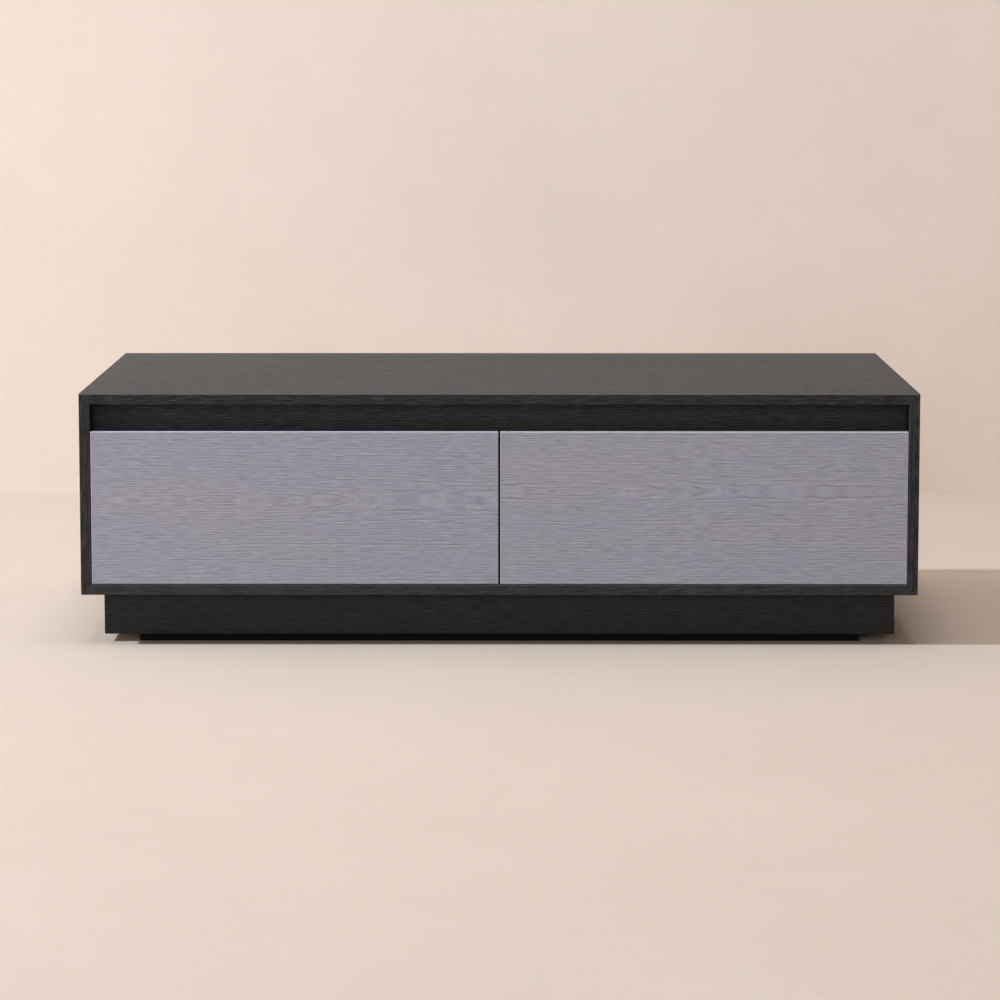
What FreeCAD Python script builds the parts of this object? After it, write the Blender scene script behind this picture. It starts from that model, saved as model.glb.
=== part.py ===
import FreeCAD, Part
import math
import operator
import os
import types

import Sketcher

# A low coffee table: a carcass of mitred boards on a set-back plinth, with two drawers side by side
# that run on ball-bearing slides and are pulled open by the gap above their fronts.
# Millimetres. X runs to the right, Y to the back and Z up, from the floor under the table's middle.

SIZES = {
    # carcass
    "table_width": 1200,
    "table_depth": 600,
    "carcass_height": 290,
    "board": 15,
    "arris": 0.8,
    # plinth
    "plinth_height": 62,
    "plinth_inset": 30,
    "block_side": 50,
    # runners under the plinth
    "runner_height": 11,
    "runner_width": 40,
    "runner_lip": 1,
    "runner_setback": 6,
    "runner_end_setback": 50,
    # finger gap above the fronts and the rail behind it
    "finger_gap": 39,
    "recess_depth": 45,
    "rail_overlap": 23,
    # gaps round the drawer fronts
    "front_side_gap": 1,
    "front_middle_gap": 3,
    "front_bottom_gap": 1,
    "partition_setback": 3,
    # loose splines and loose tenons
    "spline_thickness": 4,
    "spline_width": 12,
    "spline_stop": 40,
    "tenon_thickness": 5,
    "tenon_width": 22,
    "tenon_edge_depth": 20,
    "tenon_end_gap": 0.5,
    "joint_fit": 0.1,
    # drawer boxes
    "box_board": 12,
    "box_rise": 15,
    "box_drop": 45,
    "box_rear_gap": 70,
    "box_floor": 6,
    "groove_depth": 6,
    "groove_rise": 10,
    # slides
    "slide_width": 12.7,
    "slide_height": 45,
    "slide_rise": 65,
    "slide_setback": 2,
    "rail_steel": 1.2,
    "rail_flange": 1.8,
    "middle_flange": 2.2,
    "lip_setback": 2.7,
    "stop_length": 8,
    "slot_length": 10,
    "slot_width": 5,
    "ball_radius": 1.75,
    "ball_play": 0.15,
    "raceway_depth": 0.7,
    "cage_sheet": 0.4,
    "cage_strip": 1,
    "cage_rim": 0.7,
    "running_gap": 0.4,
    # how far a cutting tool runs past the face that it cuts
    "overrun": 1,
}

TAILS = 4
SOCKET_SHARE = 0.15
TAIL_SLOPE_SHARE = 0.17
SPLINE_SEAT_SHARE = 0.6
TENON_FACE_SHARE = 0.65
CORNER_CUT_SHARE = 0.3
OCTAGON_FLAT_SHARE = math.tan(math.radians(22.5))
CAGE_LENGTH_SHARE = 0.4
PAIR_SHARES = (0.25, 0.75)
SLOT_SHARES = (0.1, 0.5, 0.9)
BALL_SHARES = (0.1, 0.5, 0.9)

RIGHT = FreeCAD.Vector(1, 0, 0)
LEFT = -RIGHT
BACK = FreeCAD.Vector(0, 1, 0)
UP = FreeCAD.Vector(0, 0, 1)
DOWN = -UP
NO_TURN = FreeCAD.Rotation()
HALF_TURN = FreeCAD.Rotation(UP, 180)


class Size:
    """A length of the sheet, or one worked out from several: its number and its expression."""

    def __init__(self, number, text):
        self.number = number
        self.text = text

    def joined(self, other, sign, work):
        """Join this length with another length or with a plain factor."""
        if not isinstance(other, Size):
            other = Size(other, str(other))
        return Size(work(self.number, other.number), f"({self.text} {sign} {other.text})")

    def __add__(self, other):
        return self.joined(other, "+", operator.add)

    __radd__ = __add__

    def __sub__(self, other):
        return self.joined(other, "-", operator.sub)

    def __mul__(self, factor):
        return self.joined(factor, "*", operator.mul)

    def __truediv__(self, factor):
        return self.joined(factor, "/", operator.truediv)

    def __neg__(self):
        return Size(-self.number, f"(-{self.text})")


doc = FreeCAD.newDocument("coffee_table")
sheet = doc.addObject("Spreadsheet::Sheet", "sizes")
for row, (alias, millimetres) in enumerate(SIZES.items(), 1):
    sheet.set(f"A{row}", alias)
    sheet.set(f"B{row}", str(millimetres))
    sheet.setAlias(f"B{row}", alias)
doc.recompute()
at = types.SimpleNamespace(**{alias: Size(number, f"sizes.{alias}") for alias, number in SIZES.items()})
subparts = []


def keep(piece):
    """Count a finished piece among the sub-parts that are written out."""
    subparts.append(piece)
    return piece


def labelled(kind, label):
    """A new document object under its own label."""
    piece = doc.addObject(kind, label)
    piece.Label = label
    return piece


def place(piece, spot, turn=NO_TURN):
    """Put a piece at a spot whose coordinates are lengths of the sheet or zero."""
    numbers = [part.number if isinstance(part, Size) else part for part in spot]
    piece.Placement = FreeCAD.Placement(FreeCAD.Vector(*numbers), turn)
    for letter, part in zip("xyz", spot):
        if isinstance(part, Size):
            piece.setExpression(f"Placement.Base.{letter}", part.text)
    return piece


def moved(spot, direction, distance):
    """The spot at a distance from another along one of the six directions."""
    return tuple(part + distance * step if step else part for part, step in zip(spot, direction))


def towards(direction, across=None):
    """The turn that points a piece's own Z axis along a direction, and its X axis across if given."""
    if across is None:
        return FreeCAD.Rotation(UP, direction)
    return FreeCAD.Rotation(across, direction.cross(across), direction, "ZXY")


def rectangle(width, height):
    """The corners of a rectangle that starts at the origin."""
    return (0, 0), (width, 0), (width, height), (0, height)


def centred(width, height):
    """The corners of a rectangle round the origin."""
    far, high = width / 2, height / 2
    return (-far, -high), (far, -high), (far, high), (-far, high)


def cut_corners(width, height, cut):
    """The corners of a rectangle round the origin whose own corners are cut off at 45 degrees."""
    far, near = width / 2, width / 2 - cut
    high, low = height / 2, height / 2 - cut
    right = (near, -high), (far, -low), (far, low), (near, high)
    return *right, *((-across, -along) for across, along in right)


def octagon(radius):
    """The corners of an octagon round a circle."""
    return cut_corners(radius * 2, radius * 2, radius * (1 - OCTAGON_FLAT_SHARE))


def tie(sketch, line, direction, part, axis):
    """Hold the first end of a line at a length from the origin, or on the axis if that is zero."""
    if isinstance(part, Size):
        held = sketch.addConstraint(Sketcher.Constraint(direction, -1, 1, line, 1, part.number))
        sketch.setExpression(f"Constraints[{held}]", part.text)
    else:
        sketch.addConstraint(Sketcher.Constraint("PointOnObject", line, 1, axis))


def outlined(body, role, *outlines):
    """A sketch of closed straight-sided outlines on one of the body's own planes."""
    sketch = body.newObject("Sketcher::SketchObject", f"{body.Name}_sketch")
    plane = next(item for item in body.Origin.OriginFeatures if item.Role == role)
    sketch.AttachmentSupport = (plane, [""])
    sketch.MapMode = "FlatFace"
    for corners in outlines:
        first = sketch.GeometryCount
        flat = [
            [part.number if isinstance(part, Size) else part for part in corner] for corner in corners
        ]
        points = [FreeCAD.Vector(*pair, 0) for pair in flat]
        for start, end in zip(points, points[1:] + points[:1]):
            sketch.addGeometry(Part.LineSegment(start, end), False)
        for step, (across, along) in enumerate(corners):
            following = first + (step + 1) % len(corners)
            sketch.addConstraint(Sketcher.Constraint("Coincident", first + step, 2, following, 1))
            tie(sketch, first + step, "DistanceX", across, -2)
            tie(sketch, first + step, "DistanceY", along, -1)
    return sketch


def prism(label, role, corners, depth):
    """A body with a straight-sided outline, grown from its plane along +X, +Y or +Z."""
    body = labelled("PartDesign::Body", label)
    pad = body.newObject("PartDesign::Pad", f"{label}_pad")
    pad.Profile = outlined(body, role, corners)
    pad.setExpression("Length", depth.text)
    pad.Reversed = role == "XZ_Plane"
    body.Tip = pad
    return body


def ease(body, chosen):
    """Take the sharpness off the chosen edges of a body with a narrow arris."""
    doc.recompute()
    base = body.Tip
    names = [f"Edge{number}" for number, edge in enumerate(base.Shape.Edges, 1) if chosen(edge)]
    chamfer = body.newObject("PartDesign::Chamfer", f"{body.Name}_eased")
    chamfer.Base = (base, names)
    chamfer.setExpression("Size", at.arris.text)
    return body


def runs_lengthwise(edge):
    """Whether an edge runs along the piece's own X axis."""
    run = edge.Vertexes[1].Point - edge.Vertexes[0].Point
    return abs(run.x) > abs(run.y) + abs(run.z)


def every_edge(edge):
    """Choose each edge."""
    return True


def bar(label, spot, width, depth, height):
    """A plain rectangular solid."""
    solid = labelled("Part::Box", label)
    for name, size in (("Length", width), ("Width", depth), ("Height", height)):
        solid.setExpression(name, size.text)
    return place(solid, spot)


def gathered(label, members):
    """One compound of several solids."""
    compound = labelled("Part::Compound", label)
    compound.Links = members
    return compound


def copies(label, master, places):
    """One compound of copies of a piece, each at a spot and with a turn."""
    links = []
    for spot, turn in places:
        link = labelled("App::Link", f"{label}_copy")
        link.LinkedObject = master
        links.append(place(link, spot, turn))
    return gathered(label, links)


def carved(label, blank, *tools):
    """A piece cut by one tool after another."""
    for step, tool in enumerate(tools, 1):
        cut = labelled("Part::Cut", label if step == len(tools) else f"{label}_cut_{step}")
        cut.Base = blank
        cut.Tool = tool
        blank = cut
    return blank


def mitred(label, role, length, thickness, depth):
    """A board whose outer face is full length and whose ends are cut at 45 degrees."""
    corners = (0, 0), (length, 0), (length - thickness, thickness), (thickness, thickness)
    return ease(prism(label, role, corners, depth), runs_lengthwise)


# Where the carcass stands
half_width = at.table_width / 2
front = -at.table_depth / 2
back = at.table_depth / 2
carcass_base = at.runner_height + at.plinth_height
carcass_top = carcass_base + at.carcass_height
inner_half = half_width - at.board
inner_floor = carcass_base + at.board
inner_roof = carcass_top - at.board
inner_height = at.carcass_height - at.board * 2
inner_back = back - at.board

# Where the rail, the partition and the fronts stand
rail_height = at.finger_gap + at.rail_overlap
rail_front = front + at.recess_depth
rail_back = rail_front + at.board
rail_middle = rail_front + at.board / 2
front_height = inner_height - at.finger_gap - at.front_bottom_gap
front_width = (inner_half * 2 - at.front_side_gap * 2 - at.front_middle_gap) / 2
front_rear = front + at.board
partition_front = front_rear + at.partition_setback
partition_depth = inner_back - partition_front

# Where the plinth stands
plinth_half = half_width - at.plinth_inset
plinth_back = back - at.plinth_inset
plinth_front = -plinth_back
block_x = plinth_half - at.board - at.block_side / 2
block_y = plinth_back - at.board - at.block_side / 2
cross_half = block_y - at.block_side / 2

# The four outer boards, each drawn with its outer face on its own XY plane and then turned into place
panels = {
    "bottom_panel": (at.table_width, (-half_width, front, carcass_base), 0),
    "top_panel": (at.table_width, (half_width, front, carcass_top), 180),
    "left_side_panel": (at.carcass_height, (-half_width, front, carcass_top), 90),
    "right_side_panel": (at.carcass_height, (half_width, front, carcass_base), -90),
}
blanks = {}
for label, (length, spot, angle) in panels.items():
    blank = mitred(f"{label}_blank", "XZ_Plane", length, at.board, at.table_depth)
    blanks[label] = place(blank, spot, FreeCAD.Rotation(BACK, angle))

blanks["back_panel"] = place(
    prism("back_panel_blank", "XZ_Plane", rectangle(inner_half * 2, inner_height), at.board),
    (-inner_half, inner_back, inner_floor),
)
rail = prism("recess_rail_blank", "XZ_Plane", rectangle(inner_half * 2, rail_height), at.board)
rail_spot = (-inner_half, rail_front, inner_roof - rail_height)
blanks["recess_rail"] = place(ease(rail, runs_lengthwise), rail_spot)

# The partition stands behind the fronts and is notched to carry the rail
notch_depth = rail_back - partition_front
notch_foot = inner_height - rail_height
partition_outline = (
    (0, 0),
    (partition_depth, 0),
    (partition_depth, inner_height),
    (notch_depth, inner_height),
    (notch_depth, notch_foot),
    (0, notch_foot),
)
partition = prism("centre_partition_blank", "YZ_Plane", partition_outline, at.board)
blanks["centre_partition"] = place(partition, (-at.board / 2, partition_front, inner_floor))

# The plinth: four mitred rails, and a cross rail under the partition, from block to block
plinth_rails = {
    "plinth_front_rail": (plinth_half * 2, (-plinth_half, plinth_front, at.runner_height), 0),
    "plinth_back_rail": (plinth_half * 2, (plinth_half, plinth_back, at.runner_height), 180),
    "plinth_left_rail": (plinth_back * 2, (-plinth_half, plinth_back, at.runner_height), -90),
    "plinth_right_rail": (plinth_back * 2, (plinth_half, plinth_front, at.runner_height), 90),
}
for label, (length, spot, angle) in plinth_rails.items():
    blank = mitred(f"{label}_blank", "XY_Plane", length, at.board, at.plinth_height)
    blanks[label] = place(blank, spot, FreeCAD.Rotation(UP, angle))
blanks["plinth_cross_rail"] = bar(
    "plinth_cross_rail_blank",
    (-at.board / 2, -cross_half, at.runner_height),
    at.board,
    cross_half * 2,
    at.plinth_height,
)

# Loose splines across the four mitres, in grooves that stop short of the front and back edges
spline_length = at.table_depth - at.spline_stop * 2
spline = prism("spline", "XZ_Plane", centred(at.spline_width, at.spline_thickness), spline_length)
groove_outline = centred(at.spline_width + at.joint_fit * 2, at.spline_thickness + at.joint_fit * 2)
spline_groove = prism("spline_groove", "XZ_Plane", groove_outline, spline_length)
seat = half_width - at.board * SPLINE_SEAT_SHARE
low_seat = carcass_base + at.board * SPLINE_SEAT_SHARE
high_seat = carcass_top - at.board * SPLINE_SEAT_SHARE
spline_start = front + at.spline_stop
spline_places = [
    ((-seat, spline_start, high_seat), FreeCAD.Rotation(BACK, -45)),
    ((seat, spline_start, high_seat), FreeCAD.Rotation(BACK, 45)),
    ((-seat, spline_start, low_seat), FreeCAD.Rotation(BACK, 45)),
    ((seat, spline_start, low_seat), FreeCAD.Rotation(BACK, -45)),
]
keep(copies("mitre_splines", spline, spline_places))
spline_grooves = copies("spline_grooves", spline_groove, spline_places)

# Loose tenons: each starts in the face of one board and runs into the edge of the next
tenon_face_depth = at.board * TENON_FACE_SHARE
tenon_length = tenon_face_depth + at.tenon_edge_depth
tenon_cut = at.tenon_thickness * CORNER_CUT_SHARE
tenon_outline = cut_corners(at.tenon_width, at.tenon_thickness, tenon_cut)
tenon = prism("tenon", "XY_Plane", tenon_outline, tenon_length)
mortise_width = at.tenon_width + at.joint_fit * 2
mortise_outline = cut_corners(mortise_width, at.tenon_thickness + at.joint_fit * 2, tenon_cut)
mortise = prism("mortise", "XY_Plane", mortise_outline, tenon_length + at.tenon_end_gap * 2)

joints = []
back_middle = inner_back + at.board / 2
for share in PAIR_SHARES:
    across = inner_half * (share * 2 - 1)
    depth = rail_back + (inner_back - rail_back) * share
    level = inner_floor + inner_height * share
    rail_level = inner_roof - rail_height * share
    joints += [
        ((0, depth, inner_roof), DOWN, BACK),
        ((0, depth, inner_floor), UP, BACK),
        ((across, back_middle, inner_roof), DOWN, RIGHT),
        ((across, back_middle, inner_floor), UP, RIGHT),
        ((across, rail_middle, inner_roof), DOWN, RIGHT),
        ((-inner_half, back_middle, level), RIGHT, UP),
        ((inner_half, back_middle, level), LEFT, UP),
        ((-inner_half, rail_middle, rail_level), RIGHT, UP),
        ((inner_half, rail_middle, rail_level), LEFT, UP),
    ]
tenon_places = []
mortise_places = []
for spot, direction, across in joints:
    start = moved(spot, direction, -tenon_face_depth)
    tenon_places.append((start, towards(direction, across)))
    mortise_places.append((moved(start, direction, -at.tenon_end_gap), towards(direction, across)))
keep(copies("carcass_tenons", tenon, tenon_places))
mortises = copies("mortises", mortise, mortise_places)

for label, blank in blanks.items():
    keep(carved(label, blank, spline_grooves, mortises))

# Glue blocks in the corners and at the ends of the cross rail
block = prism("plinth_block", "XY_Plane", centred(at.block_side, at.block_side), at.plinth_height)
block_spots = [(across, along) for across in (-block_x, 0, block_x) for along in (-block_y, block_y)]
keep(copies("plinth_blocks", block, [((*spot, at.runner_height), NO_TURN) for spot in block_spots]))

# Two runners carry the plinth, set back from its faces so that they stay in its shadow
runner_half = plinth_half - at.runner_end_setback
runner_front = plinth_front + at.runner_setback
runner_outline = (
    (at.runner_lip, 0),
    (at.runner_width - at.runner_lip, 0),
    (at.runner_width, at.runner_lip),
    (at.runner_width, at.runner_height),
    (0, at.runner_height),
    (0, at.runner_lip),
)
runner = prism("runner", "YZ_Plane", runner_outline, runner_half * 2)
runner_rows = runner_front, -runner_front - at.runner_width
keep(copies("plinth_runners", runner, [((-runner_half, row, 0), NO_TURN) for row in runner_rows]))

# Drawer boxes
opening = inner_half - at.board / 2
box_width = opening - at.slide_width * 2
box_depth = inner_back - front_rear - at.box_rear_gap
box_bottom = inner_floor + at.box_rise
box_height = front_height + at.front_bottom_gap - at.box_rise - at.box_drop
box_back = front_rear + box_depth
floor_inset = at.box_board - at.groove_depth

# Slides: measured from the face that the cabinet rail is screwed to, and up and down from their middle
slide_length = box_depth - at.slide_setback
slide_front = front_rear + at.slide_setback
slide_level = box_bottom + at.slide_rise
moving_length = slide_length - at.stop_length - at.running_gap
cage_length = moving_length * CAGE_LENGTH_SHARE
cage_front = slide_front + (moving_length - cage_length) / 2
ball_space = (at.ball_radius + at.ball_play - at.raceway_depth) * 2
outer_half = at.slide_height / 2
outer_inside = outer_half - at.rail_flange
middle_half = outer_inside - ball_space
middle_inside = middle_half - at.middle_flange
inner_rail_half = middle_inside - ball_space
inner_rail_inside = inner_rail_half - at.rail_flange
outer_row = outer_inside - ball_space / 2
inner_row = middle_inside - ball_space / 2
cage_back = at.rail_steel + at.running_gap
middle_back = cage_back + at.cage_sheet + at.running_gap
middle_web = middle_back + at.rail_steel
inner_cage_back = middle_web + at.running_gap
drawer_lip = inner_cage_back + at.cage_sheet + at.running_gap
drawer_web = at.slide_width - at.rail_steel
cabinet_lip = at.slide_width - at.lip_setback
middle_lip = drawer_web - at.running_gap * 2
ball_line = drawer_lip + at.ball_radius
cage_lip = ball_line + at.ball_radius + at.cage_rim


def raceway(surface, depth):
    """The corners of a groove for the balls, sunk by a depth into a surface that lies level."""
    flat = (at.ball_radius + at.ball_play) * OCTAGON_FLAT_SHARE
    mouth = flat + at.raceway_depth
    bed = surface + depth
    near = (ball_line - mouth, surface), (ball_line - flat, bed)
    return *near, (ball_line + flat, bed), (ball_line + mouth, surface)


def channel(label, rear, web, lip, outside, inside, length, grooves=()):
    """A channel: web from rear to web, flanges out to the lip and grooves on the named sides."""
    outer_groove = raceway(outside, -at.raceway_depth) if "outside" in grooves else ()
    inner_groove = raceway(inside, at.raceway_depth) if "inside" in grooves else ()
    if lip.number < web.number:
        outer_groove, inner_groove = outer_groove[::-1], inner_groove[::-1]
    flange = (lip, inside), (lip, outside)
    upper = (web, inside), *inner_groove, *flange, *outer_groove[::-1], (rear, outside)
    lower = [(across, -height) for across, height in upper[::-1]]
    return prism(label, "XZ_Plane", (*upper, *lower), length)


def ball_cage(label, rear, row):
    """A bent sheet with two strips, each with windows that the balls sit in."""
    strip = at.cage_strip / 2
    web = rear + at.cage_sheet
    sheet_bend = channel(f"{label}_blank", rear, web, cage_lip, row + strip, row - strip, cage_length)
    reach = row + strip + at.overrun
    window = prism(f"{label}_window", "XY_Plane", octagon(at.ball_radius + at.ball_play), reach * 2)
    window_places = [((ball_line, cage_length * share, -reach), NO_TURN) for share in BALL_SHARES]
    return carved(label, sheet_bend, copies(f"{label}_windows", window, window_places))


# The screw slots are punched through the webs of the two rails that are screwed on
slot_cut = at.slot_width * CORNER_CUT_SHARE
slot_depth = at.rail_steel + at.overrun * 2
slot = prism("slot", "YZ_Plane", cut_corners(at.slot_length, at.slot_width, slot_cut), slot_depth)


def slots(label, face, length):
    """The slots along a rail whose web starts at a face."""
    return copies(label, slot, [((face, length * share, 0), NO_TURN) for share in SLOT_SHARES])


cabinet_rail = carved(
    "cabinet_rail",
    channel(
        "cabinet_rail_blank",
        0,
        at.rail_steel,
        cabinet_lip,
        outer_half,
        outer_inside,
        slide_length,
        ["inside"],
    ),
    slots("cabinet_slots", -at.overrun, slide_length),
)
middle_rail = channel(
    "middle_rail",
    middle_back,
    middle_web,
    middle_lip,
    middle_half,
    middle_inside,
    moving_length,
    ["inside", "outside"],
)
drawer_rail = carved(
    "drawer_rail",
    channel(
        "drawer_rail_blank",
        at.slide_width,
        drawer_web,
        drawer_lip,
        inner_rail_half,
        inner_rail_inside,
        moving_length,
        ["outside"],
    ),
    slots("drawer_slots", drawer_web - at.overrun, moving_length),
)
outer_cage = ball_cage("outer_cage", cage_back, outer_row)
inner_cage = ball_cage("inner_cage", inner_cage_back, inner_row)
stop = bar("slide_stop", (0, 0, 0), cabinet_lip - at.rail_steel, at.stop_length, outer_inside * 2)
stop_master = gathered("slide_stop_master", [stop])

# A ball with flats: what three octagonal rods along X, Y and Z have in common
ball = labelled("Part::MultiCommon", "ball")
for role, axis in (("YZ_Plane", RIGHT), ("XZ_Plane", BACK), ("XY_Plane", UP)):
    grown = prism(f"ball_{role}", role, octagon(at.ball_radius), at.ball_radius * 2)
    ball.Shapes += [place(grown, moved((0, 0, 0), axis, -at.ball_radius))]

stop_places = []
for drawer, opening_left in (("left_drawer", -inner_half), ("right_drawer", at.board / 2)):
    opening_right = opening_left + opening
    box_left = opening_left + at.slide_width
    box_right = box_left + box_width

    # The front, flush with the carcass edges
    is_left = drawer == "left_drawer"
    front_left = -inner_half + at.front_side_gap if is_left else at.front_middle_gap / 2
    drawer_front = prism(f"{drawer}_front", "XZ_Plane", rectangle(front_width, front_height), at.board)
    keep(place(ease(drawer_front, every_edge), (front_left, front, inner_floor + at.front_bottom_gap)))

    # The box floor and the groove that holds it
    floor_spot = (box_left + floor_inset, front_rear + floor_inset, box_bottom + at.groove_rise)
    floor_width = box_width - floor_inset * 2
    floor_depth = box_depth - floor_inset * 2
    groove = bar(
        f"{drawer}_groove",
        tuple(part - at.joint_fit for part in floor_spot),
        floor_width + at.joint_fit * 2,
        floor_depth + at.joint_fit * 2,
        at.box_floor + at.joint_fit * 2,
    )
    keep(bar(f"{drawer}_box_floor", floor_spot, floor_width, floor_depth, at.box_floor))

    # The sides carry the tails: one pair of sockets is cut at both ends and repeated up the board
    tails = []
    pitch = box_height / TAILS
    narrow = pitch * SOCKET_SHARE
    wide = narrow + at.box_board * TAIL_SLOPE_SHARE
    front_socket = (
        (-at.overrun, -narrow),
        (at.box_board, -wide),
        (at.box_board, wide),
        (-at.overrun, narrow),
    )
    back_socket = [(box_depth - along, height) for along, height in front_socket]
    for side, across in (("left", box_left), ("right", box_right - at.box_board)):
        label = f"{drawer}_box_{side}_side"
        board = prism(f"{label}_blank", "YZ_Plane", rectangle(box_depth, box_height), at.box_board)
        sketch = outlined(board, "YZ_Plane", front_socket, back_socket)
        pocket = board.newObject("PartDesign::Pocket", f"{label}_socket")
        pocket.Profile = sketch
        pocket.Reversed = True
        pocket.setExpression("Length", at.box_board.text)
        pattern = board.newObject("PartDesign::LinearPattern", f"{label}_sockets")
        pattern.Originals = [pocket]
        pattern.Direction = (sketch, ["V_Axis"])
        pattern.Occurrences = TAILS + 1
        pattern.setExpression("Length", box_height.text)
        board.Tip = pattern
        tails.append(place(board, (across, front_rear, box_bottom)))
        keep(carved(label, board, groove))

    # The box front and back carry the pins, which fill what the tails leave
    tail_boards = gathered(f"{drawer}_tail_boards", tails)
    for end, along in (("front", front_rear), ("back", box_back - at.box_board)):
        label = f"{drawer}_box_{end}"
        board = prism(f"{label}_blank", "XZ_Plane", rectangle(box_width, box_height), at.box_board)
        place(board, (box_left, along, box_bottom))
        keep(carved(label, board, tail_boards, groove))

    # The two slides: the right one is the left one turned round
    slides = (("left", opening_left, NO_TURN, 1), ("right", opening_right, HALF_TURN, -1))
    rails = {
        "cabinet_rail": (cabinet_rail, slide_length),
        "middle_rail": (middle_rail, moving_length),
        "drawer_rail": (drawer_rail, moving_length),
    }
    for side, face, turn, sign in slides:
        for name, (master, length) in rails.items():
            start = slide_front if sign > 0 else slide_front + length
            keep(copies(f"{drawer}_{side}_{name}", master, [((face, start, slide_level), turn)]))
        stop_end = slide_front + slide_length
        stop_start = stop_end - at.stop_length if sign > 0 else stop_end
        stop_spot = (face + at.rail_steel * sign, stop_start, slide_level - outer_inside)
        stop_places.append((stop_spot, turn))

    for stage, cage, row in (("outer", outer_cage, outer_row), ("inner", inner_cage, inner_row)):
        cage_places = []
        ball_places = []
        for side, face, turn, sign in slides:
            start = cage_front if sign > 0 else cage_front + cage_length
            cage_places.append(((face, start, slide_level), turn))
            for share in BALL_SHARES:
                for height in (-row, row):
                    along = cage_front + cage_length * share
                    spot = (face + ball_line * sign, along, slide_level + height)
                    ball_places.append((spot, NO_TURN))
        keep(copies(f"{drawer}_{stage}_cages", cage, cage_places))
        keep(copies(f"{drawer}_{stage}_balls", ball, ball_places))
keep(copies("slide_stops", stop_master, stop_places))

doc.recompute()
for item in doc.Objects:
    if "Invalid" in item.State or "Error" in item.State:
        raise RuntimeError(f"{item.Label} did not build: {item.State}")
for item in subparts:
    if item.Shape.isNull() or not item.Shape.isValid() or not item.Shape.Solids:
        raise RuntimeError(f"{item.Label} has no valid solid")

os.makedirs("parts", exist_ok=True)
for item in subparts:
    item.Shape.exportStep(f"parts/{item.Label}.step")
print(f"{len(subparts)} sub-parts written")
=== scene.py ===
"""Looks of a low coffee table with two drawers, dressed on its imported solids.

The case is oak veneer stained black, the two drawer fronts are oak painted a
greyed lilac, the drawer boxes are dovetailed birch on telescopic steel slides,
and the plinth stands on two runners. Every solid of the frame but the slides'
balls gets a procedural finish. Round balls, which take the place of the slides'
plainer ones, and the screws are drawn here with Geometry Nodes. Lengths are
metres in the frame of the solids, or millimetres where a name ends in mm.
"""
from __future__ import annotations

import logging
import math
from dataclasses import dataclass, field
from enum import Enum
from typing import Any

import bmesh
import bpy
from bpy.types import Material, Node, NodeSocket, NodeTree, Object
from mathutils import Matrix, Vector

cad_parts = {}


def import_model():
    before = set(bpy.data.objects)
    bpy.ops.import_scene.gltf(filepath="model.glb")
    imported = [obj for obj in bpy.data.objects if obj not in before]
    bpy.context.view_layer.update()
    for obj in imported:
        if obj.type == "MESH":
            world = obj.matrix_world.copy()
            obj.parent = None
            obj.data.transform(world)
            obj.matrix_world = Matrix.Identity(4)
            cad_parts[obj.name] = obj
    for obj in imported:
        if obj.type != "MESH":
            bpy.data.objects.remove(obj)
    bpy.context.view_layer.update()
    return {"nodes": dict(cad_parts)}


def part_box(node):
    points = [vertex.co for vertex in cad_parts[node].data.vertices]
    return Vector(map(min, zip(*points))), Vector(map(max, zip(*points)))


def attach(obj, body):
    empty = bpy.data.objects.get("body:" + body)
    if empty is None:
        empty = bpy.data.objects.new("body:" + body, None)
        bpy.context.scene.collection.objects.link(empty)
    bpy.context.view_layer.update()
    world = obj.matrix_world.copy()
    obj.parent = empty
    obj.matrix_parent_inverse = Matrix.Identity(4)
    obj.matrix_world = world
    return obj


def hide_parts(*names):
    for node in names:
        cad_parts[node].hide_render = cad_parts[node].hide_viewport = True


LOG = logging.getLogger("coffee_table")
MM = 0.001
M_IN_MM = 1000.0
# The inputs of a ramp: the two ends of what it reads, and of what it gives
FROM, TO = ("From Min", "From Max"), ("To Min", "To Max")

Colour = tuple[float, float, float, float]
Point = tuple[float, float, float]
Pair = tuple[float, float]
Source = Node | NodeSocket
Inputs = dict[Any, Any]


class Grain(Enum):
    """The axis that the fibres of a board run along."""

    X = "X"
    Y = "Y"
    Z = "Z"

    def across(self) -> tuple[str, str]:
        """Return the names of the two axes that cross the fibres."""
        first, second = (axis for axis in "XYZ" if axis != self.value)
        return first, second


class Side(Enum):
    """Which of the two drawers a piece belongs to, or which of a drawer's two slides."""

    LEFT = "left"
    RIGHT = "right"

    def drawer(self) -> str:
        """Return the name of the drawer on this side."""
        return f"{self.value}_drawer"


def srgb(code: str) -> Colour:
    """Turn an sRGB hex colour into the linear colour that a shader takes.

    Args:
        code: Six hex digits after a hash sign.

    Returns:
        Red, green and blue as linear light, with an alpha of one.
    """
    parts = (int(code[i:i + 2], 16) / 255.0 for i in (1, 3, 5))
    red, green, blue = (
        part / 12.92 if part <= 0.04045 else ((part + 0.055) / 1.055) ** 2.4 for part in parts
    )
    return red, green, blue, 1.0


def per_metre(size_mm: float) -> float:
    """Return the texture scale whose features are about that many millimetres wide."""
    return 1.0 / (size_mm * MM)


def put(name: str, data: Any) -> Object:
    """Put an object made of a mesh, lamp or camera into the scene and return it."""
    piece = bpy.data.objects.new(name, data)
    bpy.context.scene.collection.objects.link(piece)
    return piece


def wear(piece: Object, material: Material) -> None:
    """Give a piece one finish and report it.

    Args:
        piece: The object to dress.
        material: The finish.
    """
    piece.data.materials.clear()
    piece.data.materials.append(material)
    LOG.info("%s wears %s", piece.name, material.name)


def shown(sockets: Any, name: str | int) -> NodeSocket:
    """Find the socket that a node shows under a name.

    Args:
        sockets: The inputs or outputs of a node.
        name: The socket's name, or its place in the row.

    Returns:
        The first enabled socket of that name, or the one at that place.
    """
    if isinstance(name, int):
        return sockets[name]
    return next(s for s in sockets if s.enabled and name in ("", s.name))


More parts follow.
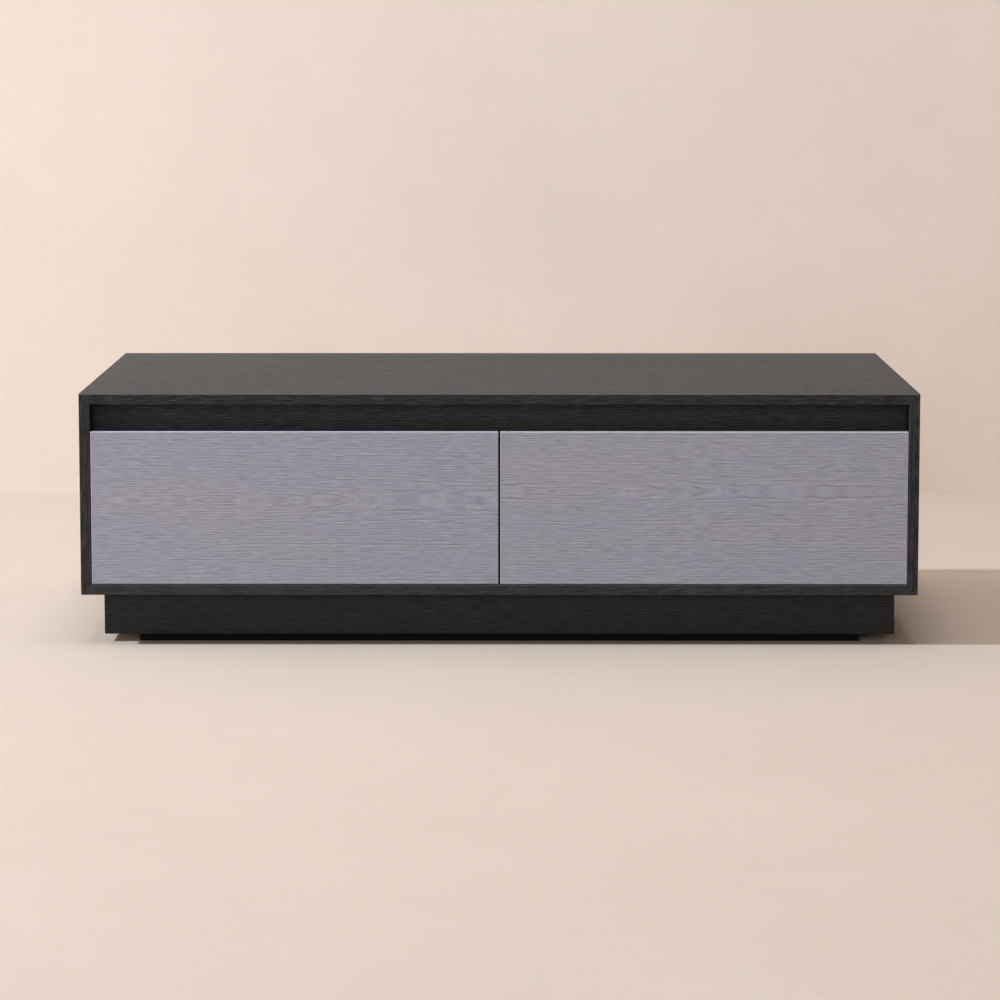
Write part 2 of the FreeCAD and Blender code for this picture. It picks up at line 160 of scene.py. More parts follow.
def add_node(tree: NodeTree, kind: str, inputs: Inputs, **settings: Any) -> Node:
    """Add a node with its settings, values and links.

    Args:
        tree: The tree to add to.
        kind: Blender's name for the kind of node.
        inputs: A constant, a socket or a whole node for each input, or a row of them for a
            row of inputs.
        settings: Properties of the node, set before its inputs.

    Returns:
        The new node.
    """
    node = tree.nodes.new(kind)
    for name, value in settings.items():
        setattr(node, name, value)
    for names, values in inputs.items():
        row = zip(names, values) if isinstance(names, tuple) else ((names, values),)
        for name, value in row:
            socket = shown(node.inputs, name)
            if isinstance(value, Node):
                value = shown(value.outputs, "")
            if isinstance(value, NodeSocket):
                tree.links.new(value, socket)
            else:
                socket.default_value = value
    return node


class Graph:
    """The node tree of one finish, filled by one call for each node.

    Attributes:
        SQUARE: The share of its normal along one axis that tells a face from a chamfer.
        TILT: How far up a chamfer looks where it has the least and the most wear and painted
            highlight.
        WEAR_AND_HIGHLIGHT: The least and the most wear of a chamfer, with a painted highlight
            that is strongest where it looks up, as if lit from above.
    """

    SQUARE = 0.97
    TILT = (-0.4, 0.6)
    WEAR_AND_HIGHLIGHT = (0.15, 0.8)

    def __init__(self, name: str) -> None:
        """Start an empty material.

        Args:
            name: The real material and how its surface was made.
        """
        self.material = bpy.data.materials.new(name)
        self.material.use_nodes = True
        self.tree = self.material.node_tree
        self.tree.nodes.clear()

    def add(self, kind: str, inputs: Inputs, **settings: Any) -> Node:
        """Add a shader node to this material, as add_node does."""
        return add_node(self.tree, f"ShaderNode{kind}", inputs, **settings)

    def close(self, surface: Node) -> Material:
        """Join a shader to the output and return the finished material."""
        self.add("OutputMaterial", {"Surface": surface})
        return self.material

    def coat(self, tint: Node, rough: Node | float, high: Node, relief: Pair,
             more: Inputs, sunk: bool = False) -> Node:
        """Add the shader of a surface that has a relief.

        Args:
            tint: Its colour.
            rough: Its roughness.
            high: The shape of its relief.
            relief: How strongly the relief shows, and its height in millimetres.
            more: The shader's other inputs.
            sunk: Whether the relief goes into the surface.

        Returns:
            The shader.
        """
        strength, height_mm = relief
        normal = self.add("Bump", {"Height": high, "Strength": strength,
                                   "Distance": height_mm * MM}, invert=sunk)
        return self.add("BsdfPrincipled", {
            "Base Color": tint, "Roughness": rough, "Normal": normal, **more})

    def streaks(self, place: Source, size_mm: Point, shift: Point = (0.0, 0.0, 0.0),
                flat: bool = False, **noise: float) -> Node:
        """Add a noise that is stretched along the axes.

        Args:
            place: Where the surface lies.
            size_mm: The length of a streak and its two widths.
            shift: Moves the noise.
            flat: Whether the first two axes alone count.
            noise: The noise's Detail and Roughness.

        Returns:
            The noise, which lies round a half.
        """
        spread = self.add("VectorMath", {0: place, 1: tuple(map(per_metre, size_mm)), 2: shift},
                          operation="MULTIPLY_ADD")
        return self.add("TexNoise", {"Vector": spread, "Scale": 1.0, **noise},
                        noise_dimensions="2D" if flat else "3D")

    def fibre_space(self, grain: Grain) -> tuple[NodeSocket, ...]:
        """Give the piece's own coordinates, the one along its fibres first.

        Args:
            grain: The axis of the fibres.

        Returns:
            The coordinate along the fibres and the two across them.
        """
        place = self.add("TexCoord", {})
        split = self.add("SeparateXYZ", {0: place.outputs["Object"]})
        return tuple(split.outputs[axis] for axis in (grain.value, *grain.across()))

    def normal(self) -> tuple[NodeSocket, Node]:
        """Give the face's own normal, whole and split into its axes."""
        whole = self.add("NewGeometry", {}).outputs["True Normal"]
        return whole, self.add("SeparateXYZ", {0: whole})

    def facing(self, axis: str) -> Node:
        """Give one on faces that look along an axis and nought on faces beside it."""
        return self.add("Math", {0: self.normal()[1].outputs[axis]}, operation="ABSOLUTE")

    def arris_wear_and_highlight(self) -> Node:
        """Give the wear and painted highlight of chamfers, most where they look up, else nought."""
        whole, split = self.normal()
        size = self.add("VectorMath", {0: whole}, operation="ABSOLUTE")
        shares = self.add("SeparateXYZ", {0: size}).outputs
        most = self.add("Math", {0: shares["X"], 1: shares["Y"]}, operation="MAXIMUM")
        most = self.add("Math", {0: most, 1: shares["Z"]}, operation="MAXIMUM")
        edge = self.add("Math", {0: most, 1: self.SQUARE}, operation="LESS_THAN")
        # Chamfers that look up get more: a painted highlight, as if lit from above, on top of wear
        reach = self.add("MapRange", {"Value": split.outputs["Z"], FROM: self.TILT, TO: self.WEAR_AND_HIGHLIGHT})
        return self.add("Math", {0: edge, 1: reach}, operation="MULTIPLY")


@dataclass(frozen=True)
class Rings:
    """What a figure measures at each point of a board.

    Attributes:
        along: The place along the fibres.
        first: The place along the first axis across them.
        radius: The distance to the heart of the log.
        flat: One where the ring lies in the face and nought where it crosses it squarely.
        place: The place along the fibres and along both axes across them.
        grown: The place along the fibres, and the radius.
    """

    along: NodeSocket
    first: NodeSocket
    radius: Node
    flat: Node
    place: Node
    grown: Node


@dataclass(frozen=True)
class Figure:
    """Where the growth rings of a board lie, as a log whose heart runs past it.

    Attributes:
        grain: The axis of the fibres.
        heart: Where the heart of the log runs, in the two axes across the grain.
        start: Where along the grain the heart begins to lean away.
        lean: How far the heart moves across the grain for each metre along it.
        reach: How far along the grain the heart leans, or nought where it leans all along.
        banding: How fast the rings cross an edge that is banded with a strip of its own.
        seed: Moves the noise, so that no two boards are alike.
        BEND: How softly the heart starts and stops to lean.
        WANDER_MM: How soon the rings wander, along the grain and in the two axes across it.
    """

    grain: Grain
    heart: Pair
    start: float = 0.0
    lean: Pair = (0.0, 0.0)
    reach: float = 0.0
    banding: float = 0.0
    seed: float = 0.0

    BEND = 0.06
    WANDER_MM = (200.0, 62.5, 62.5)

    def rings(self, graph: Graph, sway_mm: float) -> Rings:
        """Add the nodes that measure the distance to the heart of the log.

        Args:
            graph: The material to add to.
            sway_mm: How far the rings wander from true circles.

        Returns:
            What they measure.
        """
        along, first, second = graph.fibre_space(self.grain)
        place = graph.add("CombineXYZ", {("X", "Y", "Z"): (along, first, second)})
        run = graph.add("Math", {0: along, 1: self.start}, operation="SUBTRACT")
        if self.reach:
            for limit, operation in ((0.0, "SMOOTH_MAX"), (self.reach, "SMOOTH_MIN")):
                run = graph.add("Math", {0: run, 1: limit, 2: self.BEND}, operation=operation)
        offsets = []
        for spot, centre, lean in zip((first, second), self.heart, self.lean):
            heart = graph.add("Math", {0: run, 1: lean, 2: centre}, operation="MULTIPLY_ADD")
            offsets.append(graph.add("Math", {0: spot, 1: heart}, operation="SUBTRACT"))
        arm = graph.add("CombineXYZ", {("X", "Y"): offsets})
        way = graph.add("VectorMath", {0: arm}, operation="NORMALIZE")
        split = graph.normal()[1]
        face = graph.add("CombineXYZ", {
            ("X", "Y"): [split.outputs[axis] for axis in self.grain.across()]})
        flat = graph.add("VectorMath", {0: way, 1: face}, operation="DOT_PRODUCT")
        flat = graph.add("Math", {0: flat}, operation="ABSOLUTE")
        wander = graph.streaks(place, self.WANDER_MM, (self.seed, 0.0, 0.0), Detail=3.0)
        radius = graph.add("VectorMath", {0: arm}, operation="LENGTH")
        # The noise lies round a half, so twice the sway spreads it by the sway to each side
        radius = graph.add("Math", {0: wander, 1: 2.0 * sway_mm * MM, 2: radius},
                           operation="MULTIPLY_ADD")
        # A face across the second axis has one value of it, so this changes its edges alone
        radius = graph.add("Math", {0: second, 1: self.banding, 2: radius},
                           operation="MULTIPLY_ADD")
        grown = graph.add("CombineXYZ", {("X", "Y"): (along, radius)})
        return Rings(along, first, radius, flat, place, grown)


@dataclass(frozen=True)
class OakVeneer:
    """Open-pored oak veneer under a thin coat of stain or paint.

    The eye gets long wavering growth lines a few millimetres apart, each groove with a
    painted highlight on its lip, short dark pores that sink into the surface, slow
    patches of tone, and arrises where the coat is rubbed thin, with a painted
    highlight that is most where they look up. A slope of tone across the board can
    paint a reflection.

    Attributes:
        name: The material's name.
        figure: How the growth rings lie in this board.
        tones: The two colours that the slow patches pass between.
        line: The colour of the late wood.
        early_wood_and_lip_highlight: The colour of the early wood between the lines, which also
        paints a highlight on the lips of the grooves.
        pore: The colour at the bottom of a pore.
        worn_and_highlight: The colour along the arrises, partly where the coat is rubbed thin
        and partly a painted highlight.
        line_mm: The spacing of the growth lines.
        groove_mm: The width of a line's groove.
        run_mm: About how long a line runs before it fades.
        fibre_share: How far the fine streaks between the lines reach the gleam's colour.
        line_share: How much of the line's colour shows.
        gleam_share: How much of the early wood's colour shows, and of the painted highlight on
        the lips.
        shade_share: How much of the line's colour shows in the finest fibres.
        roughness: The roughness of early and late wood.
        specular: The specular level of the coat.
        relief_mm: The depth of the brushed grain.
        sway_mm: How far the rings wander from true circles.
        patch_mm: The size of the slow patches along the grain and in the two axes across it.
        patch_span: How much of the noise the patches take to pass between the tones.
        painted_reflection_slope: How fast the second tone takes over across the board. On the
        top it paints the wall's reflection as a lighter tone towards the back.
        heart_slope: How fast it takes over away from the heart.
        banding: The colour of the strip on the edges, where it isn't the face's.
        FIBRE_MM: The length and widths of a fine streak.
        WAVES: The lengths and widths in mm of the noises that move the lines, and by how
            many lines. A slow one bunches the lines, and a quick one makes each waver.
        RING_MM, RING_START: How far apart the noise that fades each ring takes two rings to
            lie, and where it starts.
        GLEAM_SPAN, SHADE_SPAN, FADE_SPAN, PORE_SPAN: The parts of their noises that show.
        FLAT_SPAN: How flat in the face a ring lies where its groove is gone and where it is
            whole.
        GROOVE_BLUR: How far past its width a groove runs out.
        PORE_MM: The length and widths of a pore, which are about twice the real ones,
            because the render shows nothing finer.
        PORE_SHARE: How much of the pore's colour shows.
        SINK, RISE: How deep a pore and how high a streak lies, where a groove is one deep.
        BRUSHED: How strongly the relief shows.
    """

    name: str
    figure: Figure
    tones: tuple[str, str]
    line: str
    early_wood_and_lip_highlight: str
    pore: str
    worn_and_highlight: str
    line_mm: float
    groove_mm: float
    run_mm: float
    fibre_share: float
    line_share: float
    gleam_share: float
    shade_share: float
    roughness: Pair
    specular: float
    relief_mm: float
    sway_mm: float = 3.0
    patch_mm: Point = (250.0, 77.0, 77.0)
    patch_span: float = 0.28
    painted_reflection_slope: float = 0.0
    heart_slope: float = 0.0
    banding: str = ""

    FIBRE_MM = (22.22, 2.4, 2.4)
    WAVES = (((666.7, 26.0, 26.0), 2.0), ((33.33, 12.0, 12.0), 0.6))
    RING_MM, RING_START = 730.0, 0.37
    GLEAM_SPAN, SHADE_SPAN = (0.48, 0.72), (0.52, 0.28)
    FADE_SPAN, PORE_SPAN = (0.36, 0.64), (0.60, 0.72)
    FLAT_SPAN = (0.99, 0.9)
    GROOVE_BLUR = 1.3
    PORE_MM = (22.0, 0.9, 0.9)
    PORE_SHARE = 0.7
    SINK, RISE = 1.2, 0.3
    BRUSHED = 0.6

    def make(self) -> Material:
        """Build the material and return it."""
        graph = Graph(self.name)
        ring = self.figure.rings(graph, self.sway_mm)
        tint = self.ground(graph, ring)
        lines, lip_highlight = self.grooves(graph, ring)
        streaks_and_lip_highlight, shades = self.fibres(graph, ring, lip_highlight)
        pores = self.pores(graph, ring)
        # The light marks are early wood with the painted highlight on the grooves' lips, and the
        # arrises take wear with a painted highlight
        light, dark = (
            graph.add("Math", {0: marks, 1: share}, operation="MULTIPLY")
            for marks, share in ((streaks_and_lip_highlight, self.gleam_share), (lines, self.line_share)))
        for share, colour in ((light, self.early_wood_and_lip_highlight), (shades, self.line), (dark, self.line),
                              (pores, self.pore), (graph.arris_wear_and_highlight(), self.worn_and_highlight)):
            tint = graph.add("Mix", {"Factor": share, "A": tint, "B": srgb(colour)},
                             data_type="RGBA")
        deep = graph.add("Math", {0: pores, 1: self.SINK, 2: lines}, operation="MULTIPLY_ADD")
        high = graph.add("Math", {0: streaks_and_lip_highlight, 1: self.RISE}, operation="MULTIPLY")
        high = graph.add("Math", {0: high, 1: deep}, operation="SUBTRACT")
        rough = graph.add("MapRange", {"Value": lines, TO: self.roughness})
        return graph.close(graph.coat(tint, rough, high, (self.BRUSHED, self.relief_mm),
                                      {"Specular IOR Level": self.specular}))

    def ground(self, graph: Graph, ring: Rings) -> Node:
        """Add the slow patches of tone, and the strip on the edges.

        Args:
            graph: The material to add to.
            ring: What the figure measures.

        Returns:
            The tint under the lines.
        """
        patch = graph.streaks(ring.place, self.patch_mm, (0.0, self.figure.seed, 0.0),
                              Detail=3.0, Roughness=0.55)
        # A slope across the board passes to the second tone; on the top it paints the wall's
        # reflection, lighter towards the back
        for place, slope in ((ring.first, self.painted_reflection_slope), (ring.radius, self.heart_slope)):
            patch = graph.add("Math", {0: place, 1: slope, 2: patch}, operation="MULTIPLY_ADD")
        half = self.patch_span / 2.0
        patch = graph.add("MapRange", {"Value": patch, FROM: (0.5 - half, 0.5 + half)})
        tint = graph.add("Mix", {"Factor": patch, "A": srgb(self.tones[0]),
                                 "B": srgb(self.tones[1])}, data_type="RGBA")
        if self.banding:
            face = graph.facing(self.figure.grain.across()[1])
            tint = graph.add("Mix", {"Factor": face, "A": srgb(self.banding), "B": tint},
                             data_type="RGBA")
        return tint

    def fibres(self, graph: Graph, ring: Rings, lip_highlight: Node) -> tuple[Node, Node]:
        """Add the fine streaks between the lines, and the painted highlight on the grooves' lips.

        Args:
            graph: The material to add to.
            ring: What the figure measures.
            lip_highlight: One on the lips of the grooves, where a highlight is painted in the light
            streaks' colour.

        Returns:
            The light streaks with the painted highlight on the lips, and the dark ones.
        """
        seed = self.figure.seed
        streaks = graph.streaks(ring.grown, self.FIBRE_MM, (seed, seed, 0.0), flat=True)
        streaks_and_lip_highlight = graph.add("MapRange", {"Value": streaks, FROM: self.GLEAM_SPAN,
                                        TO: (0.0, self.fibre_share)})
        # The lips of the grooves join the light streaks as a painted highlight
        streaks_and_lip_highlight = graph.add("Math", {0: streaks_and_lip_highlight, 1: lip_highlight}, operation="MAXIMUM")
        shades = graph.add("MapRange", {"Value": streaks, FROM: self.SHADE_SPAN,
                                        TO: (0.0, self.shade_share)})
        return streaks_and_lip_highlight, shades

    def grooves(self, graph: Graph, ring: Rings) -> tuple[Node, Node]:
        """Add the brushed-out ring lines, each a thin groove with a painted highlight on its lip.

        Args:
            graph: The material to add to.
            ring: What the figure measures.

        Returns:
            One in a groove, and one on its lip, where the highlight is painted.
        """
        seed = self.figure.seed
        phase = graph.add("Math", {0: ring.radius, 1: per_metre(self.line_mm)},
                          operation="MULTIPLY")
        for size_mm, amount in self.WAVES:
            wave = graph.streaks(ring.grown, size_mm, (seed, seed + per_metre(size_mm[0]), 0.0),
                                 flat=True, Detail=1.0)
            phase = graph.add("Math", {0: wave, 1: amount, 2: phase}, operation="MULTIPLY_ADD")
        number = graph.add("Math", {0: phase}, operation="FLOOR")
        part = graph.add("Math", {0: phase}, operation="FRACT")
        # Each ring fades in and out along the board on its own
        far = graph.add("Math", {0: number, 1: self.RING_MM * MM}, operation="MULTIPLY")
        spot = graph.add("CombineXYZ", {("X", "Y"): (ring.along, far)})
        fade = graph.streaks(spot, (self.run_mm, M_IN_MM, M_IN_MM), (seed, self.RING_START, 0.0),
                             flat=True, Roughness=0.6)
        fade = graph.add("MapRange", {"Value": fade, FROM: self.FADE_SPAN})
        # Brushing cuts no groove where a ring lies flat in the face
        cut = graph.add("MapRange", {"Value": ring.flat, FROM: self.FLAT_SPAN})
        fade = graph.add("Math", {0: fade, 1: cut}, operation="MULTIPLY")
        width = self.groove_mm / self.line_mm
        marks = []
        # The second mark lies on the lip just past each groove, where a highlight is painted
        for middle in (0.5, 0.5 + width):
            off = graph.add("Math", {0: part, 1: middle}, operation="SUBTRACT")
            off = graph.add("Math", {0: off}, operation="ABSOLUTE")
            mark = graph.add("MapRange", {"Value": off, "From Max": self.GROOVE_BLUR * width / 2.0,
                                          TO: (1.0, 0.0)}, interpolation_type="SMOOTHSTEP")
            marks.append(graph.add("Math", {0: mark, 1: fade}, operation="MULTIPLY"))
        return marks[0], marks[1]

    def pores(self, graph: Graph, ring: Rings) -> Node:
        """Add the open pores of the oak.

        Args:
            graph: The material to add to.
            ring: What the figure measures.

        Returns:
            How much a pore shows, and nought between the pores.
        """
        noise = graph.streaks(ring.place, self.PORE_MM, Detail=1.0)
        return graph.add("MapRange", {"Value": noise, FROM: self.PORE_SPAN,
                                      TO: (0.0, self.PORE_SHARE)})


@dataclass(frozen=True)
class PlanedTimber:
    """Planed solid timber with a clear matt coat, for what the shut table hides.

    The eye gets a pale ground, soft bands of summer wood, fine flecks along the
    fibres, and darker end grain where a board is cut across.

    Attributes:
        name: The material's name.
        figure: How the growth rings lie in the board.
        pale: The colour of the spring wood.
        band: The colour of the summer wood.
        fleck: The colour of the flecks.
        end: The colour of the end grain.
        band_mm: The spacing of the bands.
        band_share: How much of the band's colour shows.
        SWAY_MM: How far the rings wander from true circles.
        BAND_RUN_MM: About how long a band runs.
        FLECK_MM: The length and widths of a fleck.
        BAND_SPAN, FLECK_SPAN: The parts of their noises that show.
        END_SPAN: How squarely a face is cut across the grain where end grain starts and is
            whole.
        FLECK_SHARE, END_SHARE: How much of those colours shows.
        ROUGHNESS: The roughness of spring and summer wood.
        RELIEF: How strongly the planed surface shows, and its depth in mm.
        SPECULAR: The specular level of the coat.
    """

    name: str
    figure: Figure
    pale: str
    band: str
    fleck: str
    end: str
    band_mm: float = 9.0
    band_share: float = 0.5

    SWAY_MM = 5.0
    BAND_RUN_MM = 555.6
    FLECK_MM = (14.0, 0.8, 0.8)
    BAND_SPAN, FLECK_SPAN, END_SPAN = (0.42, 0.68), (0.56, 0.76), (0.8, 0.98)
    FLECK_SHARE, END_SHARE = 0.55, 0.6
    ROUGHNESS = (0.42, 0.62)
    RELIEF = (0.35, 0.1)
    SPECULAR = 0.4

    def make(self) -> Material:
        """Build the material and return it."""
        graph = Graph(self.name)
        ring = self.figure.rings(graph, self.SWAY_MM)
        bands = graph.streaks(ring.grown, (self.BAND_RUN_MM, self.band_mm, self.band_mm),
                              (self.figure.seed, 0.0, 0.0), Detail=3.0)
        bands = graph.add("MapRange", {"Value": bands, FROM: self.BAND_SPAN,
                                       TO: (0.0, self.band_share)},
                          interpolation_type="SMOOTHSTEP")
        flecks = graph.streaks(ring.place, self.FLECK_MM)
        flecks = graph.add("MapRange", {"Value": flecks, FROM: self.FLECK_SPAN,
                                        TO: (0.0, self.FLECK_SHARE)})
        cut = graph.add("MapRange", {"Value": graph.facing(self.figure.grain.value),
                                     FROM: self.END_SPAN, TO: (0.0, self.END_SHARE)})
        tint = srgb(self.pale)
        for share, colour in ((bands, self.band), (flecks, self.fleck), (cut, self.end)):
            tint = graph.add("Mix", {"Factor": share, "A": tint, "B": srgb(colour)},
                             data_type="RGBA")
        deep = graph.add("Math", {0: bands, 1: flecks}, operation="ADD")
        rough = graph.add("MapRange", {"Value": bands, TO: self.ROUGHNESS})
        return graph.close(graph.coat(tint, rough, deep, self.RELIEF,
                                      {"Specular IOR Level": self.SPECULAR}, sunk=True))


@dataclass(frozen=True)
class RolledSteel:
    """Cold-rolled, pressed or ground steel.

    The eye gets fine streaks along the length that it was drawn in, and a
    mottled bloom of zinc or oil.

    Attributes:
        name: The material's name.
        bright: The colour of the clean metal.
        bloom: The colour of the dulled metal.
        roughness: The roughness of clean and dulled metal.
        streak_mm: The length and widths of the drawn streaks.
        bloom_mm: The size of the mottling.
        DULL_SPAN: The part of both noises together that shows.
        RELIEF: How strongly the streaks stand out, and their height in mm.
    """

    name: str
    bright: str
    bloom: str
    roughness: Pair
    streak_mm: Point = (40.0, 0.7, 0.7)
    bloom_mm: float = 9.0

    DULL_SPAN = (0.8, 1.2)
    RELIEF = (0.15, 0.05)

    def make(self) -> Material:
        """Build the material and return it."""
        graph = Graph(self.name)
        place = graph.add("CombineXYZ", {("X", "Y", "Z"): graph.fibre_space(Grain.Y)})
        streaks = graph.streaks(place, self.streak_mm, Detail=3.0)
        bloom = graph.add("TexNoise", {"Vector": place, "Scale": per_metre(self.bloom_mm),
                                       "Detail": 3.0})
        both = graph.add("Math", {0: streaks, 1: bloom}, operation="ADD")
        dull = graph.add("MapRange", {"Value": both, FROM: self.DULL_SPAN})
        tint = graph.add("Mix", {"Factor": dull, "A": srgb(self.bright), "B": srgb(self.bloom)},
                         data_type="RGBA")
        rough = graph.add("MapRange", {"Value": dull, TO: self.roughness})
        return graph.close(graph.coat(tint, rough, streaks, self.RELIEF, {"Metallic": 1.0}))


@dataclass(frozen=True)
class MouldedPolymer:
    """Moulded rubber or plastic with the spark-eroded texture of its mould.

    The eye gets a fine even stipple and duller scuffed patches.

    Attributes:
        name: The material's name.
        body: The colour of the compound.
        scuffed: The colour of the scuffs.
        stipple_mm: The width of the stipple.
        roughness: The roughness of clean and scuffed places.
        specular: The specular level of the skin.
        SCUFF_MM: The size of the scuffs.
        SCUFF_SPAN: The part of their noise that shows.
        RELIEF: How strongly the stipple stands out, and its height in mm.
    """

    name: str
    body: str
    scuffed: str
    stipple_mm: float
    roughness: Pair
    specular: float = 0.4

    SCUFF_MM = 6.0
    SCUFF_SPAN = (0.52, 0.72)
    RELIEF = (0.4, 0.1)

    def make(self) -> Material:
        """Build the material and return it."""
        graph = Graph(self.name)
        place = graph.add("TexCoord", {}).outputs["Object"]
        stipple = graph.add("TexNoise", {"Vector": place, "Scale": per_metre(self.stipple_mm),
                                         "Detail": 1.0})
        scuffs = graph.add("TexNoise", {"Vector": place, "Scale": per_metre(self.SCUFF_MM),
                                        "Detail": 4.0, "Roughness": 0.7})
        scuffs = graph.add("MapRange", {"Value": scuffs, FROM: self.SCUFF_SPAN})
        tint = graph.add("Mix", {"Factor": scuffs, "A": srgb(self.body), "B": srgb(self.scuffed)},
                         data_type="RGBA")
        rough = graph.add("MapRange", {"Value": scuffs, TO: self.roughness})
        return graph.close(graph.coat(tint, rough, stipple, self.RELIEF,
                                      {"Specular IOR Level": self.specular}))


@dataclass(frozen=True)
class LimewashedPlaster:
    """Limewashed plaster for the studio's floor and wall.

    The eye gets a pale beige with slow clouds and a fine trowelled mottle. It
    lets rays pass that come from behind, so the table shows from every side.

    Attributes:
        name: The material's name.
        wash: The two colours of the clouds.
        CLOUD_MM, GRIT_MM: The size of the clouds and of the mottle.
        CLOUD_SPAN: The part of the clouds' noise that shows.
        RELIEF: How strongly the mottle stands out, and its height in mm.
        ROUGHNESS, SPECULAR: The roughness and the specular level of dry lime.
    """

    name: str
    wash: tuple[str, str]

    CLOUD_MM, GRIT_MM = 420.0, 12.0
    CLOUD_SPAN = (0.3, 0.7)
    RELIEF = (0.08, 1.0)
    ROUGHNESS, SPECULAR = 0.85, 0.1

    def make(self) -> Material:
        """Build the material and return it."""
        graph = Graph(self.name)
        place = graph.add("TexCoord", {}).outputs["Object"]
        cloud = graph.add("TexNoise", {"Vector": place, "Scale": per_metre(self.CLOUD_MM),
                                       "Detail": 7.0, "Roughness": 0.72})
        cloud = graph.add("MapRange", {"Value": cloud, FROM: self.CLOUD_SPAN})
        tint = graph.add("Mix", {"Factor": cloud, "A": srgb(self.wash[0]),
                                 "B": srgb(self.wash[1])}, data_type="RGBA")
        grit = graph.add("TexNoise", {"Vector": place, "Scale": per_metre(self.GRIT_MM),
                                      "Detail": 3.0})
        surface = graph.coat(tint, self.ROUGHNESS, grit, self.RELIEF,
                             {"Specular IOR Level": self.SPECULAR})
        behind = graph.add("NewGeometry", {}).outputs["Backfacing"]
        clear = graph.add("BsdfTransparent", {})
        return graph.close(graph.add("MixShader", {0: behind, 1: surface, 2: clear}))


@dataclass
class Carcass:
    """The black case with its plinth, runners and slide stops.

    Attributes:
        stain: The black-stained veneer that all boards of the case wear.
        figures: How the growth rings lie in each board of the case.
        changes_and_painted_light: What differs on some boards: the top's own finish, and other
        tones of the one stain. The recess rail's lighter tones paint light into the shade
        under the top, and the plinth's front rail's darker tones and gleam paint the shade
        under the case. The bottom and side panels take slightly lighter tones.
    """

    stain: dict[str, Any] = field(default_factory=lambda: {
        # The worn colour along the arrises is partly wear and partly a painted highlight, and the
        # gleam also paints a highlight on the grooves' lips
        "tones": ("#282827", "#242423"), "line": "#0c0c0c", "early_wood_and_lip_highlight": "#4a4a48",
        "pore": "#0e0e0e", "worn_and_highlight": "#5a5957", "line_mm": 3.6, "groove_mm": 1.1,
        "line_share": 0.7, "gleam_share": 0.65, "fibre_share": 0.6, "shade_share": 0.4,
        "run_mm": 45.0, "roughness": (0.46, 0.6), "specular": 0.16, "relief_mm": 0.2,
    })
    figures: dict[str, Figure] = field(default_factory=lambda: {
        "top_panel": Figure(Grain.X, (-0.62, 0.30), 0.1, (0.02, 0.01), banding=1.1, seed=1.3),
        "bottom_panel": Figure(Grain.X, (-0.31, 0.041), -0.14, (0.0, 0.09), 1.0, seed=4.1),
        "left_side_panel": Figure(Grain.Z, (-0.86, -0.62), 0.2, (0.04, 0.05), seed=7.7),
        "right_side_panel": Figure(Grain.Z, (0.88, -0.66), 0.2, (0.05, 0.04), seed=11.2),
        "back_panel": Figure(Grain.X, (0.48, -0.34), -0.2, (0.02, 0.03), seed=15.9),
        "centre_partition": Figure(Grain.Y, (0.24, -0.3), 0.0, (0.02, 0.03), seed=18.4),
        "recess_rail": Figure(Grain.X, (-0.30, 0.12), 0.3, (0.01, 0.01), seed=21.6),
        "plinth_front_rail": Figure(Grain.X, (-0.30, -0.12), 0.2, (0.01, 0.01), seed=25.1),
        "plinth_back_rail": Figure(Grain.X, (0.46, -0.36), -0.1, (0.02, 0.02), seed=28.5),
        "plinth_left_rail": Figure(Grain.Y, (-0.75, -0.37), 0.1, (0.02, 0.02), seed=31.7),
        "plinth_right_rail": Figure(Grain.Y, (0.77, -0.35), -0.1, (0.02, 0.02), seed=34.2),
    })
    changes_and_painted_light: dict[str, dict[str, Any]] = field(default_factory=lambda: {
        # The top's slope to its lighter second tone paints the wall's reflection towards the back
        "top_panel": {"tones": ("#192024", "#303333"), "banding": "#292827", "worn_and_highlight": "#565553",
                      "patch_mm": (260.0, 17.0, 77.0), "patch_span": 0.24, "painted_reflection_slope": 0.12,
                      "run_mm": 26.0, "line_share": 0.95, "gleam_share": 0.95,
                      "roughness": (0.52, 0.66), "specular": 0.14},
        "bottom_panel": {"tones": ("#343433", "#2d2d2c")},
        "left_side_panel": {"tones": ("#2a2a2a", "#262625")},
        "right_side_panel": {"tones": ("#2a2a2a", "#262625")},
        # Painted light: the recess rail's lighter tones offset the shade under the top. Painted
        # shade: the plinth's front rail is darker, for the shade under the case
        "recess_rail": {"tones": ("#30302e", "#2a2a29"), "early_wood_and_lip_highlight": "#474846"},
        "plinth_front_rail": {"tones": ("#1e1f1e", "#1b1c1c"), "early_wood_and_lip_highlight": "#333533"},
    })

    def dress(self, nodes: dict[str, Object]) -> None:
        """Give each board of the case, and what is fixed to it, a finish.

        Args:
            nodes: The frame's objects by name.
        """
        for board, figure in self.figures.items():
            wear(nodes[board], OakVeneer(
                name=f"oak_veneer_stained_black_{board}", figure=figure,
                **{**self.stain, **self.changes_and_painted_light.get(board, {})}).make())
        pine = PlanedTimber(
            "pine_planed", Figure(Grain.Z, (0.2, 0.35), seed=2.0), "#d8b98a", "#b98f58",
            "#a67b45", "#c39c66", band_mm=6.0, band_share=0.7)
        beech = PlanedTimber(
            "beech_machined", Figure(Grain.X, (0.3, 0.3), seed=3.0), "#caa57c", "#b98e63",
            "#8d6440", "#b08559", band_mm=3.0)
        # The runners' near-black, dull finish stands in for the deep shade under the plinth:
        # painted shade
        shade_black_plastic = MouldedPolymer(
            "polypropylene_extruded_black_painted_shade", "#080808", "#0e0e0e", 0.5, (0.8, 0.92),
            specular=0.1)
        rubber = MouldedPolymer("rubber_moulded_black", "#191919", "#262625", 0.4, (0.7, 0.85))
        for finish, pieces in ((pine, ("plinth_blocks", "plinth_cross_rail")),
                               (beech, ("mitre_splines", "carcass_tenons")),
                               (shade_black_plastic, ("plinth_runners",)), (rubber, ("slide_stops",))):
            material = finish.make()
            for piece in pieces:
                wear(nodes[piece], material)


